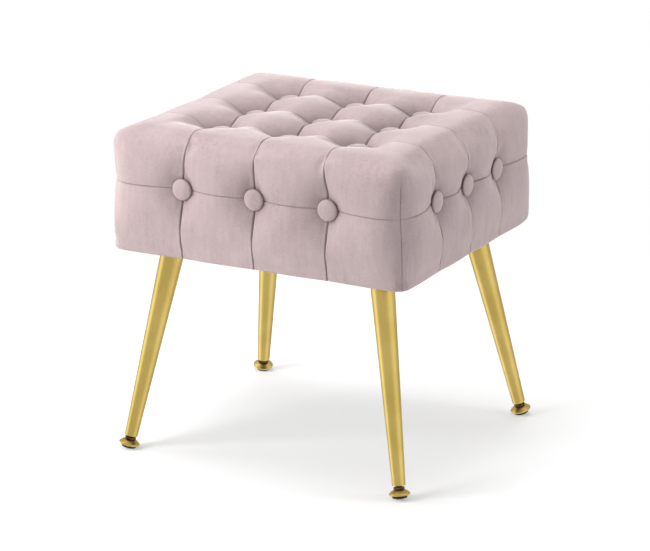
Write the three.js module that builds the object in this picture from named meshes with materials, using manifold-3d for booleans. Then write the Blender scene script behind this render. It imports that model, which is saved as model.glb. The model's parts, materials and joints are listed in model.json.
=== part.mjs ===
// Vanity stool: a button-tufted velvet seat on four splayed, tapered brass-finished legs,
// each standing on a screw-in levelling glide.
// Millimetres, +Z up. The origin is on the floor below the middle of the seat, X runs along
// the long side of the seat and -Y is its front.
import * as THREE from "three";
import { mergeVertices } from "three/addons/utils/BufferGeometryUtils.js";
import Module from "manifold-3d";

const wasm = await Module();
wasm.setup();

// Seat, at its edges; the pillows swell beyond these sizes
const seatWidth = 430;
const seatDepth = 370;
const undersideHeight = 274; // floor to the lowest edge of the cover
const seatThickness = 162;
const topRoll = 30; // radius of the top edge
const cornerRoll = 20; // radius of the upright corners and of the top's corners
const cornerReach = 85; // the roll narrows to the corners' within this distance
const topCrown = 5; // the inner pillows of the top above its edge
const sideBulge = 4.5; // of the sides, up to this height
const bulgeHeight = 140;
const hemRoll = 3.5; // how far the cover draws in at its lowest edge
const hemRollHeight = 20;

// Tufting: a grid of seams with a button at each crossing
const topPitchX = 99;
const topPitchY = 89;
const frontPitch = 105; // between buttons on the long sides
const sidePitch = 84; // between buttons on the short sides
const sideButtonRise = 91; // buttons of the four sides above the underside
const pillowReach = 46; // from a seam to the full height of its pillow
const uprightSeamDepth = 1.5;
const levelSeamDepth = 5; // of the sides' seam that runs round the seat
const topSeamDepth = 8.5;
const sidePitDepth = 11; // seat of a side button below the face's edges
const topPitDepth = 18;
const pitWidth = 30; // flat round seat under a button
const pitSpread = 9; // how far a pit's slope reaches
const shoulderWidth = 16; // from a seat to the next ring of the net
const shallowEdge = 40; // seams stay shallow this far in from the edge of the top
const deepEdge = 98; // and reach their full depth this far in
const wadding = 3; // cover and wadding squeezed under a button

// Cover underneath
const hemThickness = 2;
const hemWidth = 25;

// Buttons, each with its tufting cord and the toggle that holds the cord inside
const buttonRadius = 14.5;
const buttonHeight = 8;
const cordRadius = 1.2;
const toggleRadius = 5;
const toggleThickness = 2.5;

// Foam and frame
const topFoam = 30;
const sideFoam = 10;
const panelThickness = 12;
const boardThickness = 15;
const railThickness = 15;
const blockRoomShare = 0.717; // of the room beside the outermost toggle, for a corner block
const blockChamferShare = 0.2; // of the block's leg
const dustCoverThickness = 1;

// Leg plates
const plateSize = 52;
const plateThickness = 2.5;
const plateCorner = 6;
const plateCornerFacets = 3;
const bossRadius = 11;
const screwSpacing = 36;
const screwRadius = 1.9;
const screwHeadRadius = 3.6;
const screwHeadHeight = 1.8;
const screwLength = 16;
const screwPoint = 3;

// Legs
const legInsetX = 63.5; // from the side of the seat to the leg's axis, at the underside
const legInsetY = 59.5;
const legSplay = (14.5 * Math.PI) / 180;
const legTopRadius = 15.5;
const legTipRadius = 8.5;
const legWall = 1.2;
const legRim = 0.8; // rounding of the leg's ends
const legCap = 3; // thickness of its closed top
const legDrop = 7.5; // underside to the leg's top, along its axis
const studLength = 22;
const studHoleRadius = 6; // through the base board

// Levelling glides
const threadRadius = 4; // an M8 thread, drawn plain
const threadEngagement = 17;
const insertLength = 18;
const neckGap = 1.8; // bare thread between the leg and the hexagon
const hexAcrossFlats = 13;
const hexHeight = 3.2;
const shankRadius = 3;
const discRadius = 13.5;
const discSeatRadius = 6.3; // flat under the hexagon
const domeHeight = 4.5;
const rimHeight = 1.2;
const underHeight = 2.4;
const padRadius = 9.5;
const padSide = 2;
const padFlatRadius = 4;

// Between pieces that touch, and how far a cutter runs past what it cuts
const clearance = 0.3;
const overrun = 6;

// Facets in a full turn
const legSides = 24;
const discSides = 20;
const padSides = 16;
const bossSides = 16;
const buttonSides = 12;
const threadSides = 12;
const cordSides = 5;
const screwSides = 8;

// Levels, from the floor up
const topHeight = undersideHeight + seatThickness;
const sideButtonHeight = undersideHeight + sideButtonRise;
const cavityFloor = undersideHeight + hemThickness;
const cavityTop = topHeight - topPitDepth - wadding;
const foamTop = cavityTop - clearance;
const foamBottom = foamTop - topFoam;
const panelTop = foamBottom - clearance;
const panelBottom = panelTop - panelThickness;
const boardBottom = cavityFloor + clearance;
const boardTop = boardBottom + boardThickness;
const railBottom = boardTop + clearance;
const railTop = panelBottom - clearance;

// Half sizes of what lies inside the cover, from the outside in
const halfWidth = seatWidth / 2;
const halfDepth = seatDepth / 2;
const cavityInset = sidePitDepth + wadding;
const foamInset = cavityInset + clearance;
const frameInset = foamInset + sideFoam + clearance;
const railInset = frameInset + railThickness;
const openingInset = cavityInset + hemWidth;

// Corner blocks fit between the corner of the rails and the toggles of the nearest buttons
const blockCornerX = halfWidth - railInset - clearance;
const blockCornerY = halfDepth - railInset - 2 * clearance;
const blockRoomX = blockCornerX - frontPitch - toggleRadius;
const blockRoomY = blockCornerY - sidePitch - toggleRadius;
const blockLeg = blockRoomShare * Math.min(blockRoomX, blockRoomY);
const blockChamfer = blockChamferShare * blockLeg;

const legX = halfWidth - legInsetX;
const legY = halfDepth - legInsetY;
const up = new THREE.Vector3(0, 0, 1);

const velvet = { color: 0xcdbdc0, roughness: 0.9, metalness: 0 };
const foam = { color: 0xf0e6c8, roughness: 0.95, metalness: 0 };
const plywood = { color: 0xc8a878, roughness: 0.7, metalness: 0 };
const pine = { color: 0xd8bc8c, roughness: 0.7, metalness: 0 };
const lining = { color: 0x2b2b2d, roughness: 0.95, metalness: 0 };
const zinc = { color: 0xa9adb0, roughness: 0.4, metalness: 1 };
const brass = { color: 0xc8a751, roughness: 0.3, metalness: 1 };
const darkSteel = { color: 0x3a2a22, roughness: 0.4, metalness: 1 };
const blackPlastic = { color: 0x161616, roughness: 0.6, metalness: 0 };

// Geometry as a solid that can be joined and cut, and back again
function solid(geometry) {
  const bare = geometry.clone();
  bare.deleteAttribute("normal");
  bare.deleteAttribute("uv");
  const merged = mergeVertices(bare);
  return new wasm.Manifold(
    new wasm.Mesh({
      numProp: 3,
      vertProperties: merged.attributes.position.array,
      triVerts: new Uint32Array(merged.index.array),
    }),
  );
}

function geometryOf(body) {
  const mesh = body.getMesh();
  const geometry = new THREE.BufferGeometry();
  geometry.setAttribute("position", new THREE.BufferAttribute(mesh.vertProperties, 3));
  geometry.setIndex(new THREE.BufferAttribute(mesh.triVerts, 1));
  const faceted = geometry.toNonIndexed();
  faceted.computeVertexNormals();
  return faceted;
}

function piece(name, geometry, finish) {
  const mesh = new THREE.Mesh(geometry, new THREE.MeshStandardMaterial(finish));
  mesh.name = name;
  return mesh;
}

// A box centred on the Z axis, from half sizes and two levels
function centredBox(halfX, halfY, low, high) {
  const box = new THREE.BoxGeometry(2 * halfX, 2 * halfY, high - low);
  return box.translate(0, 0, (low + high) / 2);
}

function boxBetween(lowX, highX, lowY, highY, low, high) {
  const box = centredBox((highX - lowX) / 2, (highY - lowY) / 2, low, high);
  return box.translate((lowX + highX) / 2, (lowY + highY) / 2, 0);
}

// A profile of [radius, height] points turned about the Z axis
function turned(profile, sides) {
  const points = profile.map(([radius, height]) => new THREE.Vector2(radius, height));
  return new THREE.LatheGeometry(points, sides, Math.PI / sides).rotateX(Math.PI / 2);
}

// A closed cylinder about the Z axis between two levels
function rod(radius, low, high, sides) {
  return turned([[0, low], [radius, low], [radius, high], [0, high]], sides);
}

// Corner radius of a many-sided hole that clears a round pin of the given radius
function holeRadius(pinRadius, sides) {
  return (pinRadius + clearance) / Math.cos(Math.PI / sides);
}

function smooth(low, high, value) {
  return THREE.MathUtils.smoothstep(value, low, high);
}

// Places of the rings of the cover's net along one direction: a seam in the middle and one
// on either side, the seats of their buttons with a shoulder, and the roll of the edge
function seamStations(half, pitch) {
  const pit = pitWidth / 2;
  const shoulder = pit + shoulderWidth;
  const inner = [0, pit, shoulder, pitch - shoulder, pitch - pit, pitch];
  const outer = [pitch + pit, pitch + shoulder, half - topRoll, half - topRoll / 2, half];
  const positive = [...inner, ...outer];
  const negative = positive.slice(1).map((place) => -place);
  return [...negative.reverse(), ...positive];
}

function heightStations() {
  const pit = pitWidth / 2;
  const seats = [sideButtonRise - pit, sideButtonRise, sideButtonRise + pit];
  const roll = [seatThickness - topRoll, seatThickness - topRoll / 2, seatThickness];
  return [0, hemRollHeight, ...seats, ...roll];
}

// Gap from a place to the nearest of three seams
function seamGap(place, pitch) {
  const seam = THREE.MathUtils.clamp(Math.round(place / pitch), -1, 1);
  return place - seam * pitch;
}

function seamGaps(point, pitchX, pitchY) {
  return [seamGap(point.x, pitchX), seamGap(point.y, pitchY), point.z - sideButtonRise];
}

// Moves the corners of a button's square seat in, onto the circle through its sides
function roundSeat(point, pitchX, pitchY) {
  const reach = pitWidth / 2 + clearance;
  const gaps = seamGaps(point, pitchX, pitchY);
  const corner = new THREE.Vector3(...gaps.map((gap) => (Math.abs(gap) < reach ? gap : 0)));
  const side = Math.max(...corner.toArray().map(Math.abs));
  const pull = side > 0 ? side / corner.length() - 1 : 0;
  return point.addScaledVector(corner, pull);
}

// Fullness of a pillow at a distance from its seam, from 0 on the seam to 1; the pillows of
// the top rise more steeply than those of the sides
function fullness(distance, onTop) {
  const toSeam = 1 - Math.min(distance / pillowReach, 1);
  return 1 - toSeam ** (2 + 2 * onTop);
}

// How far the cover is drawn in at a point, under its seams and buttons, less its swell
function tuftDepth(point, pitchX, pitchY, fromCorner) {
  const { lerp, clamp } = THREE.MathUtils;
  const gaps = seamGaps(point, pitchX, pitchY).map(Math.abs);
  const inland = Math.min(halfWidth - Math.abs(point.x), halfDepth - Math.abs(point.y));
  const onTop = smooth(shallowEdge, deepEdge, inland);
  const full = gaps.reduce((share, gap) => share * fullness(gap, onTop), 1);
  const beside = smooth(0, pillowReach, fromCorner);
  const sideSeam = lerp(levelSeamDepth, uprightSeamDepth, smooth(0, pillowReach, gaps[2]));
  const seam = lerp(sideSeam * beside, topSeamDepth, onTop);
  const bulge = sideBulge * beside * Math.sin(Math.PI * clamp(point.z / bulgeHeight, 0, 1));
  const crown = topCrown * smooth(0, deepEdge, inland) * full;
  const pitDepth = inland > shallowEdge ? topPitDepth : sidePitDepth;
  const [near, next] = gaps.sort((a, b) => a - b);
  const fromSeat = Math.max(Math.hypot(near, next) - pitWidth / 2, 0);
  return lerp(seam * (1 - full) - bulge - crown, pitDepth, Math.exp(-fromSeat / pitSpread));
}

// A point of the sharp box, taken to the rounded and tufted cover; heights from the underside
function coverPoint(point, pitchX, pitchY) {
  const fromCorner = halfWidth - Math.abs(point.x) + halfDepth - Math.abs(point.y);
  const raised = smooth(0, seatThickness - topRoll, point.z) * smooth(0, cornerReach, fromCorner);
  const roll = THREE.MathUtils.lerp(cornerRoll, topRoll, raised);
  const coreX = halfWidth - roll;
  const coreY = halfDepth - roll;
  const core = new THREE.Vector3(
    THREE.MathUtils.clamp(point.x, -coreX, coreX),
    THREE.MathUtils.clamp(point.y, -coreY, coreY),
    Math.min(point.z, seatThickness - roll),
  );
  const outward = point.clone().sub(core).normalize();
  const hem = point.z > 0 ? 0 : hemRoll;
  const drawn = tuftDepth(point, pitchX, pitchY, fromCorner) + hem;
  return core.addScaledVector(outward, roll - drawn);
}

// The outside of the cover: a box of rings, moved onto its rounded and tufted surface
function coverSkin() {
  const heights = heightStations();
  const count = seamStations(halfWidth, frontPitch).length - 1;
  const rows = heights.length - 1;
  const skin = new THREE.BoxGeometry(1, 1, 1, count, count, rows);
  const places = skin.attributes.position;
  const unit = new THREE.Vector3();
  for (let i = 0; i < places.count; i++) {
    unit.fromBufferAttribute(places, i).addScalar(1 / 2);
    const height = heights[Math.round(unit.z * rows)];
    const raised = smooth(sideButtonRise, seatThickness, height);
    const pitchX = THREE.MathUtils.lerp(frontPitch, topPitchX, raised);
    const pitchY = THREE.MathUtils.lerp(sidePitch, topPitchY, raised);
    const x = seamStations(halfWidth, pitchX)[Math.round(unit.x * count)];
    const y = seamStations(halfDepth, pitchY)[Math.round(unit.y * count)];
    const sharp = roundSeat(new THREE.Vector3(x, y, height), pitchX, pitchY);
    // What lies inside the underside's edge is drawn in to the part that the opening removes
    const underneath = height === 0 && Math.abs(x) < halfWidth && Math.abs(y) < halfDepth;
    const place = underneath ? sharp.divideScalar(2) : coverPoint(sharp, pitchX, pitchY);
    places.setXYZ(i, place.x, place.y, undersideHeight + place.z);
  }
  return skin;
}

// Every button: its name, the middle of its seat on the cover, and the way that it faces
function tufts() {
  const across = { left: -1, middle: 0, right: 1 };
  const along = { front: -1, middle: 0, back: 1 };
  const list = [];
  const add = (name, seat, facing) =>
    list.push({ name, seat: new THREE.Vector3(...seat), facing: new THREE.Vector3(...facing) });
  const topSeat = topHeight - topPitDepth;
  for (const [row, j] of Object.entries(along))
    for (const [column, i] of Object.entries(across))
      add(`top_button_${row}_${column}`, [i * topPitchX, j * topPitchY, topSeat], [0, 0, 1]);
  const reachX = halfWidth - sidePitDepth;
  const reachY = halfDepth - sidePitDepth;
  for (const [side, j] of [["front", -1], ["back", 1]])
    for (const [column, i] of Object.entries(across))
      add(`${side}_button_${column}`, [i * frontPitch, j * reachY, sideButtonHeight], [0, j, 0]);
  for (const [side, i] of [["left", -1], ["right", 1]])
    for (const [row, j] of Object.entries(along))
      add(`${side}_button_${row}`, [i * reachX, j * sidePitch, sideButtonHeight], [i, 0, 0]);
  return list;
}

// How far a button's cord runs in from its seat to the far face of the wood
function cordLength(tuft) {
  const [soft, wood] = tuft.facing.z ? [topFoam, panelThickness] : [sideFoam, railThickness];
  return wadding + soft + wood + 3 * clearance;
}

function placeAt(target, tuft) {
  target.position.copy(tuft.seat);
  target.quaternion.setFromUnitVectors(up, tuft.facing);
  return target;
}

// The holes for all the cords, as one cutter
function cordHoles() {
  const radius = holeRadius(cordRadius, cordSides);
  const place = new THREE.Object3D();
  return tufts()
    .map((tuft) => {
      placeAt(place, tuft).updateMatrix();
      const hole = rod(radius, -cordLength(tuft) - overrun, overrun, cordSides);
      return solid(hole.applyMatrix4(place.matrix));
    })
    .reduce((all, hole) => all.add(hole));
}

const cordHoleCutter = cordHoles();

function velvetCover() {
  const cavity = centredBox(
    halfWidth - cavityInset,
    halfDepth - cavityInset,
    cavityFloor,
    cavityTop,
  );
  const opening = centredBox(
    halfWidth - openingInset,
    halfDepth - openingInset,
    undersideHeight - overrun,
    cavityFloor + overrun,
  );
  const cover = solid(coverSkin()).subtract(solid(cavity)).subtract(solid(opening));
  return piece("velvet_cover", geometryOf(cover.subtract(cordHoleCutter)), velvet);
}

// Tufting button, its cord and the toggle under the wood, turned as one about the cord;
// the heights are from the button's seat
function button(tuft) {
  const toggleTop = -cordLength(tuft);
  const toggleBottom = toggleTop - toggleThickness;
  const rimShare = 0.35;
  const domeShares = [[0.96, 0.6], [0.78, 0.85], [0.45, 0.97]];
  const face = (share) => clearance + share * buttonHeight;
  const profile = [
    [0, toggleBottom],
    [toggleRadius, toggleBottom],
    [toggleRadius, toggleTop],
    [cordRadius, toggleTop],
    [cordRadius, clearance],
    [buttonRadius * (1 - rimShare / 2), clearance],
    [buttonRadius, face(rimShare)],
    ...domeShares.map(([out, rise]) => [buttonRadius * out, face(rise)]),
    [0, face(1)],
  ];
  return placeAt(piece(tuft.name, turned(profile, buttonSides), velvet), tuft);
}

function cut(geometry) {
  return geometryOf(solid(geometry).subtract(cordHoleCutter));
}

function foamTopPad() {
  const pad = centredBox(halfWidth - foamInset, halfDepth - foamInset, foamBottom, foamTop);
  return piece("foam_top", cut(pad), foam);
}

// Foam band wrapped round the frame, from the hem up to the top pad
function foamSideBand() {
  const bandTop = foamBottom - clearance;
  const inset = foamInset + sideFoam;
  const outside = centredBox(
    halfWidth - foamInset,
    halfDepth - foamInset,
    boardBottom,
    bandTop,
  );
  const inside = centredBox(
    halfWidth - inset,
    halfDepth - inset,
    boardBottom - overrun,
    bandTop + overrun,
  );
  const band = solid(outside).subtract(solid(inside)).subtract(cordHoleCutter);
  return piece("foam_side_band", geometryOf(band), foam);
}

function topPanel() {
  const panel = centredBox(
    halfWidth - frameInset,
    halfDepth - frameInset,
    panelBottom,
    panelTop,
  );
  return piece("top_panel", cut(panel), plywood);
}

// Long rails run the full width of the frame, short rails fit between them
function rails() {
  const outX = halfWidth - frameInset;
  const outY = halfDepth - frameInset;
  const inX = halfWidth - railInset;
  const inY = halfDepth - railInset;
  const shortEnd = inY - clearance;
  const rail = (name, ...sides) =>
    piece(name, cut(boxBetween(...sides, railBottom, railTop)), pine);
  return [
    rail("front_rail", -outX, outX, -outY, -inY),
    rail("back_rail", -outX, outX, inY, outY),
    rail("left_rail", -outX, -inX, -shortEnd, shortEnd),
    rail("right_rail", inX, outX, -shortEnd, shortEnd),
  ];
}

// Glue block in one corner of the rails, its long face chamfered at both ends
function cornerBlock(corner) {
  const outline = new THREE.Shape();
  outline.moveTo(0, 0);
  outline.lineTo(-blockLeg, 0);
  outline.lineTo(-blockLeg, -blockChamfer);
  outline.lineTo(-blockChamfer, -blockLeg);
  outline.lineTo(0, -blockLeg);
  const block = new THREE.ExtrudeGeometry(outline, {
    depth: railTop - railBottom,
    bevelEnabled: false,
  });
  const mesh = piece(`corner_block_${corner.name}`, block, pine);
  mesh.position.set(corner.x * blockCornerX, corner.y * blockCornerY, railBottom);
  mesh.rotation.z = Math.atan2(corner.y, corner.x) - Math.PI / 4;
  return mesh;
}

const corners = [
  { name: "front_left", x: -1, y: -1 },
  { name: "front_right", x: 1, y: -1 },
  { name: "back_left", x: -1, y: 1 },
  { name: "back_right", x: 1, y: 1 },
];

// A frame on the leg's axis: its origin where the axis meets the plane of the underside,
// +Z up the leg and +X tilted outwards
function legFrame(corner) {
  const frame = new THREE.Group();
  frame.position.set(corner.x * legX, corner.y * legY, undersideHeight);
  frame.rotation.set(0, -legSplay, Math.atan2(corner.y, corner.x), "ZYX");
  frame.updateMatrix();
  return frame;
}

function screwPlaces() {
  const half = screwSpacing / 2;
  return corners.map((corner) => [corner.x * half, corner.y * half]);
}

// Base board with a slanted hole for each leg's stud and blind holes for the plate screws
function baseBoard() {
  const board = centredBox(
    halfWidth - frameInset,
    halfDepth - frameInset,
    boardBottom,
    boardTop,
  );
  const screwTop = undersideHeight + screwReach() + clearance;
  const screwHole = rod(
    holeRadius(screwRadius, screwSides),
    boardBottom - overrun,
    screwTop,
    screwSides,
  );
  const studHole = rod(studHoleRadius, -legDrop, studLength + overrun, threadSides);
  let body = solid(board);
  for (const corner of corners) {
    const slanted = studHole.clone().applyMatrix4(legFrame(corner).matrix);
    body = body.subtract(solid(slanted));
    for (const [x, y] of screwPlaces()) {
      const hole = screwHole.clone().translate(corner.x * legX + x, corner.y * legY + y, 0);
      body = body.subtract(solid(hole));
    }
  }
  return piece("base_board", geometryOf(body), plywood);
}

// Lining that closes the underside, cut out round the four leg plates
function dustCover() {
  const outX = halfWidth - openingInset - clearance;
  const outY = halfDepth - openingInset - clearance;
  const notch = (screwSpacing + plateSize) / 4;
  const cutX = legX - notch;
  const cutY = legY - notch;
  const outline = new THREE.Shape();
  const quarter = [[outX, cutY], [cutX, cutY], [cutX, outY]];
  const ring = [
    ...quarter,
    ...quarter.map(([x, y]) => [-x, y]).reverse(),
    ...quarter.map(([x, y]) => [-x, -y]),
    ...quarter.map(([x, y]) => [x, -y]).reverse(),
  ];
  outline.setFromPoints(ring.map(([x, y]) => new THREE.Vector2(x, y)));
  const lid = new THREE.ExtrudeGeometry(outline, {
    depth: dustCoverThickness,
    bevelEnabled: false,
  });
  const mesh = piece("dust_cover", lid, lining);
  mesh.position.z = boardBottom - clearance - dustCoverThickness;
  return mesh;
}

// Height of the screws' points above the underside
function screwReach() {
  return screwLength - clearance - plateThickness;
}

function screw() {
  const under = -clearance - plateThickness;
  const point = screwReach();
  return turned(
    [
      [0, under - screwHeadHeight],
      [screwHeadRadius, under - screwHeadHeight],
      [screwHeadRadius, under + plateThickness / 2],
      [screwRadius, under + plateThickness / 2],
      [screwRadius, point - screwPoint],
      [0, point],
    ],
    screwSides,
  );
}

// Steel plate screwed under the board, with the slanted boss that the leg's stud threads
// into and its four screws; heights from the underside
function legPlate(corner) {
  const half = plateSize / 2;
  const outline = new THREE.Shape();
  const inner = half - plateCorner;
  for (const [x, y, turn] of [[1, 1, 0], [-1, 1, 1], [-1, -1, 2], [1, -1, 3]]) {
    const start = (turn * Math.PI) / 2;
    outline.absarc(x * inner, y * inner, plateCorner, start, start + Math.PI / 2);
  }
  const top = -clearance;
  const bottom = top - plateThickness;
  const sheet = new THREE.ExtrudeGeometry(outline, {
    depth: plateThickness,
    bevelEnabled: false,
    curveSegments: plateCornerFacets,
  }).translate(0, 0, bottom);
  const tilt = new THREE.Matrix4().makeRotationFromEuler(
    new THREE.Euler(0, -legSplay, Math.atan2(corner.y, corner.x), "ZYX"),
  );
  const bossEnd = -legDrop + clearance;
  const boss = rod(bossRadius, bossEnd, overrun, bossSides).applyMatrix4(tilt);
  const above = centredBox(plateSize, plateSize, bottom + plateThickness / 2, plateSize);
  const bore = rod(
    holeRadius(threadRadius, threadSides),
    bossEnd - overrun,
    2 * overrun,
    threadSides,
  ).applyMatrix4(tilt);
  let body = solid(boss).subtract(solid(above)).add(solid(sheet)).subtract(solid(bore));
  for (const [x, y] of screwPlaces())
    body = body.add(solid(screw().translate(x, y, 0)));
  const mesh = piece(`leg_plate_${corner.name}`, geometryOf(body), zinc);
  mesh.position.set(corner.x * legX, corner.y * legY, undersideHeight);
  return mesh;
}

// Heights along the leg's axis. The band round the pad's face slopes by the splay, so that
// its inner facet lies flat on the floor.
const facetTurn = Math.cos(Math.PI / padSides);
const padBand =
  -(undersideHeight - padRadius * facetTurn * Math.sin(legSplay)) / Math.cos(legSplay);
const padTop = padBand + padSide;
const discBottom = padTop + clearance;
const discRimLow = discBottom + underHeight;
const discRimHigh = discRimLow + rimHeight;
const discTop = discRimHigh + domeHeight;
const hexTop = discTop + clearance + hexHeight;
const legTip = hexTop + neckGap;
const legTop = -legDrop;
const insertBottom = legTip + clearance;
const insertTop = insertBottom + insertLength;

function legInnerRadius(height) {
  const share = (height - legTip) / (legTop - legTip);
  return THREE.MathUtils.lerp(legTipRadius, legTopRadius, share) - legWall;
}

// Tapered tube, closed at the top and carrying the stud that screws into the plate
function legTube(corner) {
  const ceiling = legTop - legCap;
  const profile = [
    [0, ceiling],
    [legInnerRadius(ceiling), ceiling],
    [legInnerRadius(legTip), legTip],
    [legTipRadius - legRim / 2, legTip],
    [legTipRadius, legTip + legRim],
    [legTopRadius, legTop - legRim],
    [legTopRadius - legRim, legTop],
    [threadRadius, legTop],
    [threadRadius, legTop + studLength - legRim],
    [threadRadius - legRim, legTop + studLength],
    [0, legTop + studLength],
  ];
  return piece(`leg_${corner.name}`, turned(profile, legSides), brass);
}

// Threaded insert pressed into the tip of the leg
function legInsert(corner) {
  const bore = holeRadius(threadRadius, threadSides);
  const profile = [
    [bore, insertBottom],
    [legInnerRadius(insertBottom) - clearance, insertBottom],
    [legInnerRadius(insertTop) - clearance, insertTop],
    [bore, insertTop],
    [bore, insertBottom],
  ];
  return piece(`leg_insert_${corner.name}`, turned(profile, threadSides), zinc);
}

// Threaded stem with its hexagon, and the shank that the disc is riveted on
function glideStem(corner) {
  const stemTop = legTip + threadEngagement;
  const chamfer = threadRadius - shankRadius;
  const stem = turned(
    [
      [0, discBottom + clearance],
      [shankRadius, discBottom + clearance],
      [shankRadius, discTop + clearance],
      [threadRadius, discTop + clearance],
      [threadRadius, stemTop - chamfer],
      [shankRadius, stemTop],
      [0, stemTop],
    ],
    threadSides,
  );
  const hexRadius = hexAcrossFlats / 2 / Math.cos(Math.PI / 6);
  const hexagon = rod(hexRadius, discTop + clearance, hexTop, 6);
  const body = solid(stem).add(solid(hexagon));
  return piece(`glide_stem_${corner.name}`, geometryOf(body), darkSteel);
}

// Domed disc, with its underside drawn in to the pad
function glideDisc(corner) {
  const bore = holeRadius(shankRadius, threadSides);
  const domeShares = [0.25, 0.55, 0.8];
  const dome = domeShares.map((share) => {
    const radius = THREE.MathUtils.lerp(discSeatRadius, discRadius, share);
    return [radius, discRimHigh + domeHeight * Math.cos((share * Math.PI) / 2)];
  });
  const profile = [
    [bore, discBottom],
    [padRadius, discBottom],
    [discRadius, discRimLow],
    [discRadius, discRimHigh],
    ...dome.reverse(),
    [discSeatRadius, discTop],
    [bore, discTop],
    [bore, discBottom],
  ];
  return piece(`glide_disc_${corner.name}`, turned(profile, discSides), brass);
}

function glidePad(corner) {
  const slope = Math.tan(legSplay) * facetTurn;
  const padFace = padBand - (padRadius - padFlatRadius) * slope;
  const profile = [
    [0, padFace],
    [padFlatRadius, padFace],
    [padRadius, padBand],
    [padRadius, padTop],
    [0, padTop],
  ];
  return piece(`glide_pad_${corner.name}`, turned(profile, padSides), blackPlastic);
}

function leg(corner) {
  const frame = legFrame(corner);
  frame.add(
    legTube(corner),
    legInsert(corner),
    glideStem(corner),
    glideDisc(corner),
    glidePad(corner),
  );
  return frame;
}

const stool = new THREE.Group();
stool.add(velvetCover(), foamTopPad(), foamSideBand(), topPanel(), baseBoard(), dustCover());
stool.add(...rails(), ...tufts().map(button));
stool.add(...corners.map(cornerBlock), ...corners.map(legPlate), ...corners.map(leg));

export default stool;
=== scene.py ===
import json
import math

import bmesh
import bpy
import numpy as np
from mathutils import Matrix, Vector, noise as fieldNoise


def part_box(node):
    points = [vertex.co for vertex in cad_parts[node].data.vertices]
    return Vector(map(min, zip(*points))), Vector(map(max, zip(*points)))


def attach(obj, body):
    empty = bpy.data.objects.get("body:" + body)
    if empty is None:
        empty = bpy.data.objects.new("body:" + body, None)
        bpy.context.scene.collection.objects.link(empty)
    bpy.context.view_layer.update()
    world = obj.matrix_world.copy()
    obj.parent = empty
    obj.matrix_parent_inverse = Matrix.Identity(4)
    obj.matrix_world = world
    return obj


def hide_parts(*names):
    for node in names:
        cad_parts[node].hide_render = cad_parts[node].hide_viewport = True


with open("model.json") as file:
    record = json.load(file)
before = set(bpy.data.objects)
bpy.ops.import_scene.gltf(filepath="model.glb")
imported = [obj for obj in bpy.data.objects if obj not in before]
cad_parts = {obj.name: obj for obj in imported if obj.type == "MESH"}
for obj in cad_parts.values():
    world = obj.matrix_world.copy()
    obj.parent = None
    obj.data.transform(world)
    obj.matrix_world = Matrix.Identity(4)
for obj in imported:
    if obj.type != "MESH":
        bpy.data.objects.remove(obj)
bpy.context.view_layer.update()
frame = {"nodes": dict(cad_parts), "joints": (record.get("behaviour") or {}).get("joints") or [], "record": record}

# Vanity stool: a button-tufted velvet seat on four splayed brass legs with levelling glides.
# Metres, +Z up, X along the long side of the seat, -Y at its front.

scene = bpy.context.scene
scene.view_settings.view_transform = "Standard"

sides = ("left", "middle", "right")
rows = ("front", "middle", "back")
facings = {"top": (0, 0, 1), "front": (0, -1, 0), "back": (0, 1, 0), "left": (-1, 0, 0), "right": (1, 0, 0)}
corners = {"front_left": "fl", "front_right": "fr", "back_left": "bl", "back_right": "br"}
tiny = 1e-5  # slack for comparing places


def configure(thing, settings):
    for name, value in settings.items():
        setattr(thing, name, value)


def pick(piece, *names):
    return [piece[name] for name in names]


# A socket of a material, with operators for shader maths
class Wire:
    def __init__(self, tree, socket=None):
        self.tree = tree
        self.socket = socket

    # Adds a node; its sockets take numbers, colours or wires
    def node(self, kind, settings=None, sockets=None, output=0):
        made = self.tree.nodes.new("ShaderNode" + kind)
        configure(made, settings or {})
        for name, value in (sockets or {}).items():
            socket = made.inputs[name]
            if isinstance(value, Wire):
                self.tree.links.new(value.socket, socket)
            else:
                socket.default_value = (*value, 1) if socket.type == "RGBA" else value
        return Wire(self.tree, made.outputs[output] if made.outputs else None)

    def maths(self, operation, *values):
        return self.node("Math", {"operation": operation}, dict(enumerate(values)))

    def __add__(self, other):
        return self.maths("ADD", self, other)

    def __rsub__(self, other):
        return self.maths("SUBTRACT", other, self)

    def __mul__(self, other):
        return self.maths("MULTIPLY", self, other)

    __radd__ = __add__

    # 0 below low, 1 above high, smooth between
    def ramp(self, low, high):
        settings = {"interpolation_type": "SMOOTHSTEP"}
        return self.node("MapRange", settings, {0: self, 1: low, 2: high})

    # Two colours mixed by this value
    def mix(self, first, second):
        return self.node("Mix", {"data_type": "RGBA"}, {0: self, 6: first, 7: second}, output=2)


def newMaterial(name):
    material = bpy.data.materials.new(name)
    material.use_nodes = True
    material.node_tree.nodes.clear()
    return material, Wire(material.node_tree)


# Material from one of the looks below
def principled(name, look, *options):
    material, start = newMaterial(name)
    shader = start.node("BsdfPrincipled", sockets=look(start, *options))
    start.node("OutputMaterial", sockets={"Surface": shader})
    return material


def position(start, stretch=(1, 1, 1)):
    spot = start.node("TexCoord", output=3)
    return start.node("Mapping", sockets={"Vector": spot, "Scale": stretch})


def noise(start, scale, detail=3, roughness=0.5, stretch=(1, 1, 1)):
    sockets = {"Scale": scale, "Detail": detail, "Roughness": roughness}
    return start.node("TexNoise", sockets={"Vector": position(start, stretch), **sockets})


def cells(start, scale, randomness=1.0):
    sockets = {"Vector": position(start), "Scale": scale, "Randomness": randomness}
    return start.node("TexVoronoi", sockets=sockets)


def relief(start, height, distance, strength, under=None):
    sockets = {"Height": height, "Distance": distance, "Strength": strength}
    if under:
        sockets["Normal"] = under
    return start.node("Bump", sockets=sockets)


velvetLook = {
    "pile": (0.400, 0.315, 0.318),
    "pileLight": (0.446, 0.357, 0.359),
    "pileDark": (0.340, 0.263, 0.266),
    # dark stitched seam lines, and the painted shade in grooves, pits and round the buttons
    "seam": (0.165, 0.120, 0.122),
    "sheenTint": (1.0, 0.90, 0.90),
}
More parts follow.
